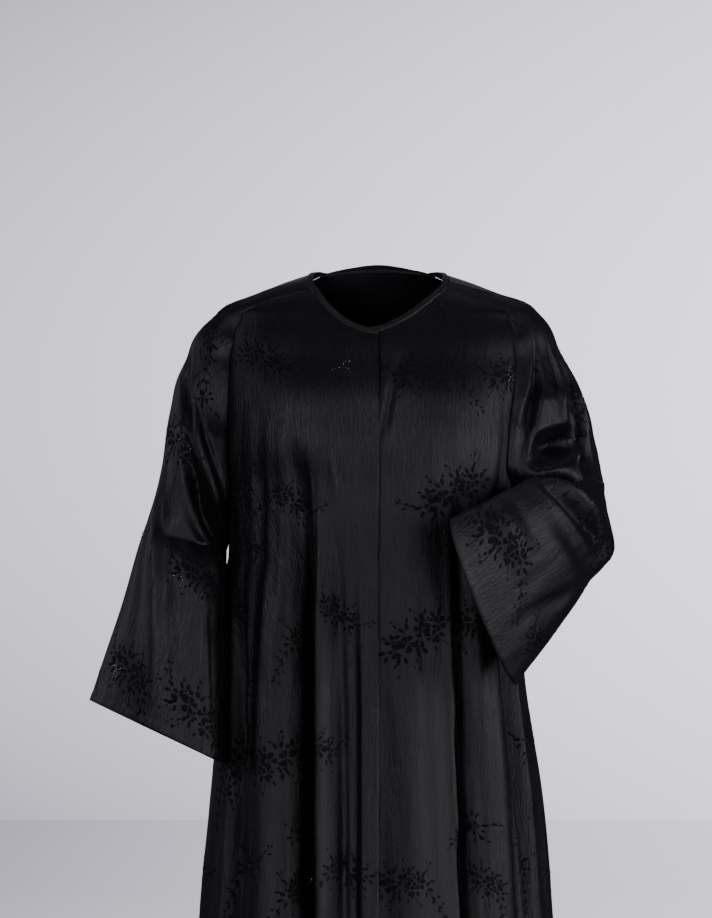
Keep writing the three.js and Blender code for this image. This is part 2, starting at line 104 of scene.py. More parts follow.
# Angle round the body (0 front, 90 the wearer's left) at the fold's head and at the hem, heights
# where it starts and is full, reach to each side in degrees, depth (a trough is negative).
FOLD_COLUMNS = "head hem start full before after depth"
BODY_FOLDS = table(FOLD_COLUMNS, [
    (-66, -50, -0.33, -0.62, 6, 4, -0.026),
    (-52, -38, -0.24, -0.6, 9, 9, 0.015),
    (-40, -21, -0.18, -0.5, 5, 5.5, -0.046),
    (-29, -14, -0.25, -0.56, 5, 7, 0.013),
    (-15, -10, -0.3, -0.64, 9, 6, -0.015),
    (16, 14, -0.3, -0.7, 14, 16, 0.008),
    (41, 31, -0.21, -0.58, 3.5, 3.5, -0.032),
    (52, 46, -0.28, -0.64, 8, 9, 0.012),
    (62, 73, -0.3, -0.6, 5, 6.5, -0.032),
    (88, 88, -0.42, -0.76, 9, 9, 0.01),
    (110, 106, -0.3, -0.68, 8, 9, -0.018),
    (128, 126, -0.24, -0.66, 10, 11, 0.013),
    (147, 146, -0.26, -0.62, 7, 8, -0.026),
    (168, 166, -0.2, -0.6, 11, 10, 0.013),
    (-172, -174, -0.32, -0.68, 8, 8, -0.018),
    (-153, -156, -0.22, -0.6, 10, 10, 0.013),
    (-136, -137, -0.26, -0.62, 7, 7, -0.026),
    (-118, -116, -0.3, -0.7, 11, 11, 0.012),
    (-99, -96, -0.44, -0.76, 8, 8, -0.014),
    (-82, -76, -0.44, -0.74, 8, 9, 0.007),
])
# Shallow lines that only the cloth has: soft pulls on the chest and small ridges in the skirt.
FINE_FOLDS = table(FOLD_COLUMNS, [
    (-70, -60, -0.08, -0.2, 4, 5, 0.0022),
    (-56, -50, -0.13, -0.3, 4, 3, -0.0028),
    (-46, -40, -0.15, -0.33, 3, 4, 0.0026),
    (-30, -18, -0.2, -0.33, 2.5, 3, 0.003),
    (-22, -9, -0.23, -0.42, 3, 2.5, -0.0022),
    (-17, -7, -0.26, -0.42, 2, 3, 0.002),
    (22, 21, -0.33, -0.52, 3, 3, -0.002),
    (34, 33, -0.25, -0.4, 2.5, 3, 0.0026),
    (48, 40, -0.19, -0.33, 2.5, 2.5, 0.003),
    (60, 54, -0.15, -0.42, 3, 4, -0.0026),
    (104, 100, -0.3, -0.52, 4, 4, 0.0024),
    (138, 137, -0.2, -0.42, 4, 4, 0.0024),
    (158, 156, -0.16, -0.4, 4, 5, -0.0024),
    (178, 178, -0.24, -0.46, 4, 4, 0.0022),
    (-163, -166, -0.18, -0.42, 4, 4, -0.0024),
    (-145, -147, -0.2, -0.4, 4, 4, 0.0024),
    (-127, -128, -0.22, -0.44, 4, 4, -0.0022),
    (-108, -106, -0.32, -0.52, 4, 4, 0.0022),
])
# Creases on the fronts, from one point to another as (x, z), with half their width and their depth.
FRONT_CREASES = table("x0 z0 x1 z1 reach depth", [
    (0.027, -0.092, 0.002, -0.222, 0.008, -0.004),
    (0.046, -0.1, 0.016, -0.24, 0.016, 0.0016),
    (-0.06, -0.185, -0.046, -0.33, 0.006, 0.0014),
    (-0.104, -0.12, -0.1, -0.3, 0.012, -0.0016),
    (0.15, -0.15, 0.128, -0.33, 0.01, 0.0022),
    (0.13, -0.16, 0.112, -0.33, 0.008, -0.0018),
])
# The right front's edge stands a little clear of the left front over the chest.
LAP_LIFT = {"z": -0.175, "z_reach": 0.130, "across": 0.022, "height": 0.0030}
CHEST_REST = {"angle": 37, "angle_reach": 30, "z": -0.185, "z_reach": 0.105, "depth": 0.008}

RAGLAN_RIGHT = {
    "front": table("z x", [
        (FRONT_CORNER_Z, 0.078),
        (-0.039, 0.149),
        (-0.057, 0.17),
        (-0.086, 0.18),
        (-0.12, 0.184),
        (-0.201, 0.185),
        (-0.26, 0.182),
    ]),
    "back": table("z x", [
        (BACK_CORNER_Z, 0.068),
        (-0.028, 0.128),
        (-0.057, 0.164),
        (-0.1, 0.178),
        (-0.2, 0.183),
        (-0.26, 0.182),
    ]),
    "underarm": -0.345,
}
RAGLAN_LEFT = {
    "front": table("z x", [
        (FRONT_CORNER_Z, 0.078),
        (-0.039, 0.144),
        (-0.057, 0.163),
        (-0.086, 0.169),
        (-0.12, 0.17),
        (-0.192, 0.162),
        (-0.24, 0.158),
    ]),
    "back": table("z x", [
        (BACK_CORNER_Z, 0.068),
        (-0.028, 0.128),
        (-0.057, 0.162),
        (-0.1, 0.174),
        (-0.18, 0.177),
        (-0.24, 0.176),
    ]),
    "underarm": -0.310,
}

CAP_COLUMNS = "share x y z half sweep"
TUBE_COLUMNS = "along out_x out_y out_z in_x in_y in_z wide_x wide_y wide_z"
SLEEVE_FOLD_COLUMNS = "around0 along0 around1 along1 reach depth"
RIGHT_SLEEVE = {
    "side": -1,
    "raglan": RAGLAN_RIGHT,
    "cap": table(CAP_COLUMNS, [
        (0, -0.082, 0, 0, 0.05, 60),
        (0.09, -0.15, 0, -0.023, 0.05, 48),
        (0.21, -0.204, 0, -0.052, 0.052, 52),
        (0.4, -0.24, 0, -0.106, 0.056, 78),
        (0.6, -0.259, -0.002, -0.17, 0.062, 112),
        (0.79, -0.27, -0.006, -0.242, 0.065, 180),
        (1, -0.289, -0.01, -0.312, 0.066, 180),
    ]),
    "tube": table(TUBE_COLUMNS, [
        (0.645, -0.289, -0.01, -0.312, -0.188, 0, -0.345, 0, 0.066, 0),
        (0.69, -0.298, -0.012, -0.339, -0.187, -0.038, -0.372, -0.004, 0.065, 0),
        (0.8, -0.316, -0.016, -0.404, -0.191, -0.06, -0.44, -0.01, 0.065, 0),
        (0.9, -0.337, -0.019, -0.468, -0.191, -0.072, -0.522, -0.013, 0.067, 0),
        (1, -0.357, -0.022, -0.53, -0.192, -0.08, -0.602, -0.016, 0.07, 0),
    ]),
    "folds": table(SLEEVE_FOLD_COLUMNS, [
        (-0.18, 0.22, -0.84, 0.5, 0.055, -0.01),
        (-0.4, 0.28, -1, 0.62, 0.06, 0.01),
        (-0.38, 0.4, -1, 0.69, 0.055, -0.018),
        (-0.6, 0.34, -0.97, 0.55, 0.035, -0.005),
        (-0.5, 0.53, -0.92, 0.76, 0.05, 0.006),
        (-0.14, 0.4, -0.47, 1.02, 0.065, 0.01),
        (-0.02, 0.44, -0.33, 1, 0.06, -0.005),
        (-0.66, 0.72, -0.74, 1, 0.05, 0.004),
        (-0.84, 0.7, -0.9, 1, 0.045, -0.004),
        (0.4, 0.3, 0.86, 0.62, 0.07, -0.009),
        (0.3, 0.28, 0.8, 0.5, 0.06, 0.006),
        (0.4, 0.5, 0.44, 1, 0.08, 0.008),
        (0.62, 0.6, 0.66, 1, 0.06, -0.005),
    ]),
}
LEFT_SLEEVE = {
    "side": 1,
    "raglan": RAGLAN_LEFT,
    "cap": table(CAP_COLUMNS, [
        (0, 0.082, 0, 0, 0.05, 60),
        (0.1, 0.15, 0, -0.023, 0.05, 48),
        (0.23, 0.201, 0, -0.048, 0.052, 52),
        (0.385, 0.229, 0.002, -0.099, 0.058, 78),
        (0.53, 0.255, 0.004, -0.146, 0.062, 106),
        (0.72, 0.271, 0.004, -0.204, 0.066, 180),
        (1, 0.282, -0.006, -0.262, 0.068, 180),
    ]),
    "tube": table(TUBE_COLUMNS, [
        (0.5, 0.282, -0.006, -0.262, 0.184, 0, -0.31, 0.002, 0.068, -0.012),
        (0.64, 0.27, -0.082, -0.296, 0.202, -0.008, -0.308, 0.038, 0.06, -0.048),
        (0.76, 0.234, -0.132, -0.322, 0.184, -0.05, -0.328, 0.044, 0.046, -0.062),
        (0.88, 0.18, -0.176, -0.358, 0.16, -0.092, -0.364, 0.047, 0.038, -0.078),
        (1, 0.114, -0.221, -0.401, 0.136, -0.137, -0.402, 0.04, 0.027, -0.1),
    ]),
    "folds": table(SLEEVE_FOLD_COLUMNS, [
        (-0.64, 0.15, -0.95, 0.4, 0.06, -0.014),
        (-0.4, 0.1, -0.53, 0.35, 0.06, 0.009),
        (-0.25, 0.18, -0.38, 0.47, 0.055, -0.013),
        (-0.16, 0.16, -0.24, 0.44, 0.06, 0.005),
        (-0.86, 0.38, -0.31, 0.35, 0.044, -0.036),
        (-0.95, 0.42, -0.4, 0.425, 0.026, 0.01),
        (-0.43, 0.44, -0.38, 0.3, 0.04, 0.008),
        (-0.95, 0.458, -0.3, 0.468, 0.028, -0.015),
        (-0.6, 0.5, 0.1, 0.54, 0.045, 0.006),
        (-0.5, 0.64, 0.25, 0.655, 0.036, 0.009),
        (-0.5, 0.695, 0.3, 0.714, 0.036, -0.016),
        (-0.46, 0.86, 0.08, 0.885, 0.045, 0.007),
        (-0.2, 0.77, 0.36, 0.76, 0.04, -0.004),
        (0.3, 0.78, 0.12, 0.97, 0.05, -0.005),
        (0.1, 0.6, 0.36, 0.74, 0.06, 0.007),
        (0.42, 0.3, 0.82, 0.46, 0.07, -0.008),
        (0.55, 0.56, 0.62, 0.98, 0.07, 0.006),
    ]),
}


# ---------------- small maths

def smooth_step(start, end, value):
    t = np.clip((value - start) / (end - start), 0, 1)
    return t * t * (3 - 2 * t)


def bump(t):
    """A soft bump: 1 in the middle, flat at both ends, 0 beyond one."""
    return np.clip(1 - t * t, 0, 1) ** 2


def read(rows, key, column, value):
    """One column of a table at a key value, as a smooth curve through its rows."""
    keys, values = rows[key], rows[column]
    rising = 1 if keys[-1] > keys[0] else -1
    last = len(keys) - 1
    ahead = np.minimum(np.arange(last + 1) + 1, last)
    behind = np.maximum(np.arange(last + 1) - 1, 0)
    slopes = (values[ahead] - values[behind]) / (keys[ahead] - keys[behind])
    value = np.asarray(value, dtype=float)
    i = np.clip(np.searchsorted(keys * rising, value * rising) - 1, 0, last - 1)
    span = keys[i + 1] - keys[i]
    t = np.clip((value - keys[i]) / span, 0, 1)
    h = t * t * (3 - 2 * t)
    begin = values[i] + slopes[i] * span * t
    end = values[i + 1] - slopes[i + 1] * span * (1 - t)
    return begin * (1 - h) + end * h


def read_point(rows, key, value, names):
    return np.stack([read(rows, key, name, value) for name in names.split()], axis=-1)


def unit(vectors):
    return vectors / np.maximum(np.linalg.norm(vectors, axis=-1, keepdims=True), 1e-12)


def ripple(u, v, seed, across, along, depth):
    """Smooth uneven ripples of the given wavelengths."""
    random = np.random.default_rng(seed)
    total = np.zeros(np.broadcast(u, v).shape)
    for _ in range(7):
        fu, fv = random.uniform(0.55, 1.5) / across, random.uniform(-1.1, 1.1) / along
        total += np.sin(2 * math.pi * (fu * u + fv * v) + random.uniform(0, 2 * math.pi))
    return depth * total / 3.2


def ripples(cloth, seeds, sizes):
    """A long and a short ripple over a sheet."""
    u, v = cloth[:, :, 0], cloth[:, :, 1]
    return sum(ripple(u, v, seed, *size) for seed, size in zip(seeds, sizes))


# ---------------- the body's surface

def ring_radius(angle, z):
    sine, cosine = np.sin(np.radians(angle)), np.cos(np.radians(angle))
    side = np.where(sine < 0, read(BODY_RINGS, "z", "right", z), read(BODY_RINGS, "z", "left", z))
    face = np.where(cosine < 0, read(BODY_RINGS, "z", "back", z), read(BODY_RINGS, "z", "front", z))
    total = (np.abs(sine) / side) ** SQUARENESS + (np.abs(cosine) / face) ** SQUARENESS
    return total ** (-1 / SQUARENESS)


def turn_between(a, b):
    return (a - b + 180) % 360 - 180


def fold_depth(angle, z, folds):
    depth = np.zeros(np.broadcast(angle, z).shape)
    for head, hem, start, full, before, after, deep in zip(*folds.values()):
        down = (z - start) / (HEM_Z - start)
        off = turn_between(angle, head + (hem - head) * down)
        reach = np.where(off < 0, before, after)
        shape = bump((off / reach) ** 2) if deep < 0 else bump(off / reach)
        depth += np.where(down > 0, deep * smooth_step(start, full, z) * shape, 0)
    return depth


def line_folds(folds, a, b):
    """Folds along straight lines in two coordinates, each fading out at its ends."""
    total = 0
    for a0, b0, a1, b1, reach, depth in zip(*folds.values()):
        run, rise = a1 - a0, b1 - b0
        length = math.hypot(run, rise)
        t = ((a - a0) * run + (b - b0) * rise) / length ** 2
        off = ((a - a0) * rise - (b - b0) * run) / length
        total = total + depth * bump(off / reach) * bump(2 * t - 1)
    return total


def body_point(angle, z, lift=0.0):
    rest = (np.abs(turn_between(angle, 0)) - CHEST_REST["angle"]) / CHEST_REST["angle_reach"]
    chest = CHEST_REST["depth"] * bump(rest) * bump((z - CHEST_REST["z"]) / CHEST_REST["z_reach"])
    radius = ring_radius(angle, z) + fold_depth(angle, z, BODY_FOLDS) + chest + lift
    x, y = radius * np.sin(np.radians(angle)), -radius * np.cos(np.radians(angle))
    return np.stack(np.broadcast_arrays(x, y, z), axis=-1)


def body_normal(angle, z):
    around = body_point(angle + 0.5, z) - body_point(angle - 0.5, z)
    up = body_point(angle, z + 0.002) - body_point(angle, z - 0.002)
    return unit(np.cross(around, up))


def angle_at(distance, z, side, face):
    """The angle where a ring is a given distance from the centre line."""
    half = read(BODY_RINGS, "z", "right" if side < 0 else "left", z)
    deep = read(BODY_RINGS, "z", face, z)
    depth = deep * (1 - np.minimum(1, distance / half) ** SQUARENESS) ** (1 / SQUARENESS)
    return side * np.degrees(np.arctan2(distance, depth if face == "front" else -depth))


def raglan_height(corner, underarm, share):
    return corner + (underarm - corner) * share ** RAGLAN_SPACING


def seam_angle(raglan, side, face, z):
    """The angle of the raglan seam above the underarm and of the side seam below it."""
    rows = raglan[face]
    last_x, last_z = rows["x"][-1], rows["z"][-1]
    join = angle_at(last_x, last_z, side, face)
    t = np.clip((last_z - z) / (last_z - raglan["underarm"]), 0, 1)
    above = angle_at(read(rows, "z", "x", z), z, side, face)
    return np.where(z > last_z, above, join + (side * 90 - join) * t ** 1.6)


def gap_angle(angle, z):
    return np.degrees(SEAM_GAP / 2 / ring_radius(angle, z))


# ---------------- sheets of cloth

def close_ends(count, pull=0.35):
    """Even steps from 0 to 1, a little closer together at both ends."""
    t = np.linspace(0, 1, count + 1)
    return t - pull * np.sin(2 * math.pi * t) / (2 * math.pi)


def seam_heights(corner, underarm, hem_lines):
    """Row heights along a seam: from the neck to the underarm, then on to the hem."""
    shoulder = raglan_height(corner, underarm, np.arange(SHOULDER_ROWS) / SHOULDER_ROWS)
    skirt = np.linspace(underarm, HEM_Z + hem_lines[0], SKIRT_ROWS)
    return np.concatenate([shoulder, skirt, HEM_Z + np.array(hem_lines[1:])])


HEM_LINES = [0.040, 0.035, 0.0315, 0.030, 0.0285, 0.025, 0.018, 0.010, 0.004, 0.0015, 0.0]


def neck_curve(corner, seam_z, share):
    return np.exp((seam_z - corner) / NECK_CURVE_FADE) * (1 - share * share)


def cloth_coordinates(points, reference):
    """Metres across the cloth from a column, and metres up from the last row, square to the rows."""
    across = np.linalg.norm(np.diff(points, axis=1), axis=-1)
    across = np.concatenate([np.zeros((len(points), 1)), np.cumsum(across, axis=1)], axis=1)
    across = across - across[:, reference:reference + 1]
    step = np.diff(points, axis=0)
    along_row = unit(np.gradient(points, axis=1))[1:]
    step = step - along_row * np.sum(step * along_row, axis=-1, keepdims=True)
    down = np.linalg.norm(step, axis=-1)
    up = np.concatenate([np.cumsum(down[::-1], axis=0)[::-1], np.zeros((1, points.shape[1]))], axis=0)
    return np.stack([across, up], axis=-1)


def seam_roll(distance):
    """How far cloth sinks as it turns into a seam."""
    return -0.0011 * np.exp(-distance / 0.0022) - 0.0004 * np.exp(-distance / 0.008)


def hem_step(distance, depth):
    """A turned hem is a little proud, with a dent along its stitching."""
    proud = 0.0006 * (1 - smooth_step(depth - 0.002, depth + 0.003, distance))
    return proud - 0.0005 * bump((distance - depth) / 0.003)


def sheet(name, points, normals, cloth, material):
    """A grid of points as a sheet with its cloth coordinates as a UV map."""
    rows, columns = points.shape[:2]
    index = np.arange(rows * columns).reshape(rows, columns)
    faces = np.stack([index[:-1, :-1], index[1:, :-1], index[1:, 1:], index[:-1, 1:]], axis=-1).reshape(-1, 4)
    mesh = bpy.data.meshes.new(name)
    mesh.from_pydata(points.reshape(-1, 3).tolist(), [], faces.tolist())
    uv = mesh.uv_layers.new(name="cloth")
    uv.data.foreach_set("uv", cloth.reshape(-1, 2)[faces.reshape(-1)].astype(np.float32).reshape(-1))
    mesh.shade_smooth()
    mesh.materials.append(material)
    piece = bpy.data.objects.new(name, mesh)
    bpy.context.collection.objects.link(piece)
    return piece


def edge_distance(cloth, column):
    """Distance of every point from an edge column, across the cloth."""
    return np.abs(cloth[:, :, 0] - cloth[:, column:column + 1, 0])


def front_panel(side):
    raglan = RAGLAN_RIGHT if side < 0 else RAGLAN_LEFT
    seam_z = seam_heights(FRONT_CORNER_Z, raglan["underarm"], HEM_LINES)[:, None]
    share = close_ends(FRONT_COLUMNS)[None, :]
    z = seam_z - FRONT_NECK_DROP * neck_curve(FRONT_CORNER_Z, seam_z, share)
    edge = seam_angle(raglan, side, "front", seam_z) - side * gap_angle(side * 80, z)
    lap = 0 if side < 0 else -np.degrees(UNDERLAP / ring_radius(0, z))
    angle = lap + (edge - lap) * share
    across = ring_radius(angle, z) * np.sin(np.radians(angle))
    lift = 0 if side < 0 else -LAP_DROP * (1 - smooth_step(0, LAP_EASE, across))
    if side < 0:
        over_chest = bump((z - LAP_LIFT["z"]) / LAP_LIFT["z_reach"])
        lift = LAP_LIFT["height"] * over_chest * np.exp(across / LAP_LIFT["across"])
    lift = lift + fold_depth(angle, z, FINE_FOLDS) + line_folds(FRONT_CREASES, across, z)
    points, normals = body_point(angle, z, lift), body_normal(angle, z)
    if side < 0:
        points, normals = points[:, ::-1], normals[:, ::-1]
    centre = FRONT_COLUMNS if side < 0 else 0
    cloth = cloth_coordinates(points, centre)
    seam = edge_distance(cloth, FRONT_COLUMNS - centre)
    detail = seam_roll(seam) + hem_step(cloth[:, :, 1], FRONT_HEM)
    calm = smooth_step(0, 0.03, seam)
    detail += calm * ripples(cloth, (3 + side, 7 + side), PANEL_RIPPLES)
    return points + normals * detail[:, :, None], normals, cloth


def back_panel():
    right_z = seam_heights(BACK_CORNER_Z, RAGLAN_RIGHT["underarm"], HEM_LINES)[:, None]
    left_z = seam_heights(BACK_CORNER_Z, RAGLAN_LEFT["underarm"], HEM_LINES)[:, None]
    begin = seam_angle(RAGLAN_LEFT, 1, "back", left_z) + gap_angle(90, left_z)
    end = seam_angle(RAGLAN_RIGHT, -1, "back", right_z) - gap_angle(-90, right_z) + 360
    share = close_ends(BACK_COLUMNS, 0.3)[None, :]
    seam_z = left_z + (right_z - left_z) * share
    z = seam_z + BACK_NECK_RISE * neck_curve(BACK_CORNER_Z, seam_z, 2 * share - 1)
    angle = begin + (end - begin) * share
    points = body_point(angle, z, fold_depth(angle, z, FINE_FOLDS))
    normals = body_normal(angle, z)
    cloth = cloth_coordinates(points, BACK_COLUMNS // 2)
    seam = np.minimum(edge_distance(cloth, 0), edge_distance(cloth, BACK_COLUMNS))
    detail = seam_roll(seam) + hem_step(cloth[:, :, 1], FRONT_HEM)
    calm = smooth_step(0, 0.03, seam)
    detail += calm * ripples(cloth, (21, 22), PANEL_RIPPLES)
    return points + normals * detail[:, :, None], normals, cloth


# ---------------- sleeves

def seam_edge(sleeve, share, face):
    """Points and normals of a sleeve's edge along the raglan seam."""
    push = (0.0013 + 2 * SEAM_GAP) * smooth_step(0.7, 1, share)
    corner = FRONT_CORNER_Z if face == "front" else BACK_CORNER_Z
    z = raglan_height(corner, sleeve["raglan"]["underarm"], share)
    outward = (1 if face == "front" else -1) * sleeve["side"] * gap_angle(90, z)
    angle = seam_angle(sleeve["raglan"], sleeve["side"], face, z) + outward
    return body_point(angle, z + 2 * SEAM_GAP, push), body_normal(angle, z)


def sleeve_surface(sleeve, around, along):
    """Points of a sleeve before its folds: part-ellipses from the front edge over to the back."""
    underarm = sleeve["tube"]["along"][0]
    above = along < underarm
    share = np.clip(along / underarm, 0, 1)
    front, _ = seam_edge(sleeve, share, "front")
    back, _ = seam_edge(sleeve, share, "back")
    chord = (back - front) / 2
    length = np.linalg.norm(chord, axis=-1)
    half = np.maximum(read(sleeve["cap"], "share", "half", share), length * 1.001)
    sweep = np.radians(read(sleeve["cap"], "share", "sweep", share))
    sweep = np.minimum(math.pi - np.arcsin(length / half), sweep)
    top = read_point(sleeve["cap"], "share", share, "x y z")
    out = (top - (front + back) / 2) / (1 - np.cos(sweep))[:, None]
    wide = chord / np.maximum(np.sin(sweep), 1e-9)[:, None]
    outer = read_point(sleeve["tube"], "along", along, "out_x out_y out_z")
    inner = read_point(sleeve["tube"], "along", along, "in_x in_y in_z")
    tube_wide = read_point(sleeve["tube"], "along", along, "wide_x wide_y wide_z")
    centre = np.where(above[:, None], top - out, (outer + inner) / 2)
    out = np.where(above[:, None], out, (outer - inner) / 2)
    wide = np.where(above[:, None], wide, tube_wide)
    turn = around[None, :] * np.where(above, sweep, math.pi)[:, None]
    ring = centre[:, None] + out[:, None] * np.cos(turn)[..., None] + wide[:, None] * np.sin(turn)[..., None]
    return ring


def grid_normals(points, side):
    across = np.gradient(points, axis=1)
    down = np.gradient(points, axis=0)
    return unit(np.cross(across, down)) * -side


def sleeve_panel(sleeve):
    side, underarm = sleeve["side"], sleeve["tube"]["along"][0]
    cap = np.arange(SHOULDER_ROWS) / SHOULDER_ROWS * underarm
    tube = underarm + (1 - underarm) * close_ends(TUBE_ROWS, 0.2)
    along = np.concatenate([cap, tube])
    around = 2 * close_ends(SLEEVE_COLUMNS, 0.25) - 1
    points = sleeve_surface(sleeve, around, along)
    cloth = cloth_coordinates(points, SLEEVE_COLUMNS // 2)
    normals = grid_normals(points, side)
    depth = line_folds(sleeve["folds"], around[None, :], along[:, None])
    points = points + normals * depth[:, :, None]
    share = np.clip(along / underarm, 0, 1)
    _, front_normal = seam_edge(sleeve, share, "front")
    _, back_normal = seam_edge(sleeve, share, "back")
    above = along < underarm
    normals = grid_normals(points, side)
    normals[above, 0] = front_normal[above]
    normals[above, -1] = back_normal[above]
    seam = np.minimum(edge_distance(cloth, 0), edge_distance(cloth, SLEEVE_COLUMNS))
    detail = seam_roll(seam) + hem_step(cloth[:, :, 1], CUFF_HEM)
    calm = smooth_step(0, 0.02, seam)
    detail += calm * ripples(cloth, (31 + side, 35 + side), SLEEVE_RIPPLES)
    points = points + normals * detail[:, :, None]
    if side < 0:
        points, normals, cloth = points[:, ::-1], normals[:, ::-1], cloth[:, ::-1]
    return points, normals, cloth


# ---------------- materials

class Number:
    """A number socket, so that shader maths can be written as expressions."""

    def __init__(self, shader, socket):
        self.shader = shader
        self.socket = socket

    def _maths(self, operation, a, b):
        return self.shader.add("ShaderNodeMath", {"operation": operation}, {0: a, 1: b})[0]

    def __add__(self, other):
        return self._maths("ADD", self, other)

    def __radd__(self, other):
        return self._maths("ADD", other, self)

    def __sub__(self, other):
        return self._maths("SUBTRACT", self, other)

    def __rsub__(self, other):
        return self._maths("SUBTRACT", other, self)

    def __mul__(self, other):
        return self._maths("MULTIPLY", self, other)

    def __rmul__(self, other):
        return self._maths("MULTIPLY", other, self)


class Shader:
    """A material's node tree, filled by one method."""

    def __init__(self, name):
        self.material = bpy.data.materials.new(name)
        self.material.use_nodes = True
        self.tree = self.material.node_tree
        self.tree.nodes.clear()

    def add(self, kind, settings=None, inputs=None):
        node = self.tree.nodes.new(kind)
        for name, value in (settings or {}).items():
            setattr(node, name, value)
        for key, value in (inputs or {}).items():
            if isinstance(value, Number):
                self.tree.links.new(value.socket, node.inputs[key])
            else:
                node.inputs[key].default_value = value
        return {**{i: Number(self, s) for i, s in enumerate(node.outputs)},
                **{s.name: Number(self, s) for s in node.outputs}}

    def mix_colour(self, factor, a, b):
        return self.add("ShaderNodeMix", {"data_type": "RGBA"}, {0: factor, 6: a, 7: b})[2]

    def cloth_noise(self, across, up, detail, distortion=0.0):
        """Noise in the cloth's coordinates, with its own scale across and up, in cycles a metre."""
        where = self.add("ShaderNodeUVMap", {"uv_map": "cloth"})["UV"]
        scaled = self.add("ShaderNodeMapping", {}, {"Vector": where, "Scale": (across, up, 1)})["Vector"]
        return self.add("ShaderNodeTexNoise", {"noise_dimensions": "2D"},
                        {"Vector": scaled, "Scale": 1.0, "Detail": detail, "Distortion": distortion})[0]

    def bump(self, height, distance, normal=None):
        inputs = {"Height": height, "Distance": distance, "Strength": 1.0}
        if normal is not None:
            inputs["Normal"] = normal
        return self.add("ShaderNodeBump", {}, inputs)["Normal"]

    def surface(self, **sockets):
        inputs = {name.replace("_", " "): value for name, value in sockets.items()}
        out = self.add("ShaderNodeBsdfPrincipled", {}, inputs)["BSDF"]
        self.add("ShaderNodeOutputMaterial", {}, {"Surface": out})
        return self.material


def satin(name, dark, light, roughness):
    """Crinkled black satin: fine crinkles run down the cloth over an even finer weave."""
    shader = Shader(name)
    crinkle = shader.cloth_noise(400, 52, 2.5, 1.0)
    fine = shader.cloth_noise(760, 150, 2.0, 0.4)
    weave = shader.cloth_noise(3200, 2600, 1.0)
    patchy = shader.cloth_noise(9, 5, 2.0)
    colour = shader.mix_colour(crinkle * 0.6 + patchy * 0.4, dark, light)
    height = crinkle * 0.75 + fine * 0.25
    normal = shader.bump(height, 0.0010)
    normal = shader.bump(weave, 0.00005, normal)
    rough = roughness + (fine - 0.5) * 0.12
    return shader.surface(Base_Color=colour, Roughness=rough, Normal=normal, Specular_IOR_Level=0.5,
                          Sheen_Weight=0.05, Sheen_Roughness=0.4, Sheen_Tint=(0.86, 0.84, 0.95, 1))


def flower_weave():
    """The woven flowers: the same black thread in a matt weave."""
    shader = Shader("flower_weave")
    weave = shader.cloth_noise(1500, 900, 2.0)
    patchy = shader.cloth_noise(60, 60, 2.0)
    colour = shader.mix_colour(patchy, (0.0036, 0.0033, 0.0056, 1), (0.0066, 0.0061, 0.0092, 1))
    return shader.surface(Base_Color=colour, Roughness=0.66 + weave * 0.2,
                          Normal=shader.bump(weave, 0.0006), Specular_IOR_Level=0.26)


def bead_glass():
    shader = Shader("bead_glass")
    tone = shader.cloth_noise(700, 700, 1.0)
    colour = shader.mix_colour(tone, (0.55, 0.54, 0.60, 1), (0.95, 0.94, 1.0, 1))
    return shader.surface(Base_Color=colour, Roughness=0.08 + tone * 0.1, Metallic=1.0)


def studio_glow(name, base, strength, reach):
    """A glowing pale surface with painted studio light: lighter to one side and darker up and down, over its
    reach in metres.
    """
    shader = Shader(name)
    where = shader.add("ShaderNodeTexCoord")["Object"]
    axes = shader.add("ShaderNodeSeparateXYZ", {}, {"Vector": where})
    aside, up = axes["X"] * (1 / reach), axes["Z"] * (1 / reach)
    # Painted light: the lighter side and the darker top and bottom stand in for how the lamps fall on the
    # backdrop.
    painted_falloff = 0.63 + aside * 1.54 + up * 0.14 - up * up * 7.84
    glow = shader.mix_colour(painted_falloff, (0.60, 0.580, 0.70, 1), (2.0, 1.94, 2.16, 1))
    return shader.surface(Base_Color=(base, base, base, 1), Roughness=0.9, Specular_IOR_Level=0.1,
                          Emission_Color=glow, Emission_Strength=strength)


SATIN = satin("crinkled_satin", (0.0034, 0.0031, 0.0056, 1), (0.0060, 0.0055, 0.0092, 1), 0.42)
BINDING_SATIN = satin("binding_satin", (0.0060, 0.0056, 0.0076, 1), (0.0086, 0.0080, 0.0106, 1), 0.48)
THREAD = satin("sewing_thread", (0.0060, 0.0056, 0.0068, 1), (0.0110, 0.0105, 0.0122, 1), 0.5)
FLOWERS = flower_weave()
BEADS = bead_glass()


# ---------------- the pieces

garment = {}
for name, grid in {
    "front_right": front_panel(-1),
    "front_left": front_panel(1),
    "back": back_panel(),
    "sleeve_right": sleeve_panel(RIGHT_SLEEVE),
    "sleeve_left": sleeve_panel(LEFT_SLEEVE),
}.items():
    points, normals, cloth = grid
    garment[name] = {"points": points, "normals": normals, "cloth": cloth,
                     "piece": sheet(f"cloth_{name}", points, normals, cloth, SATIN)}


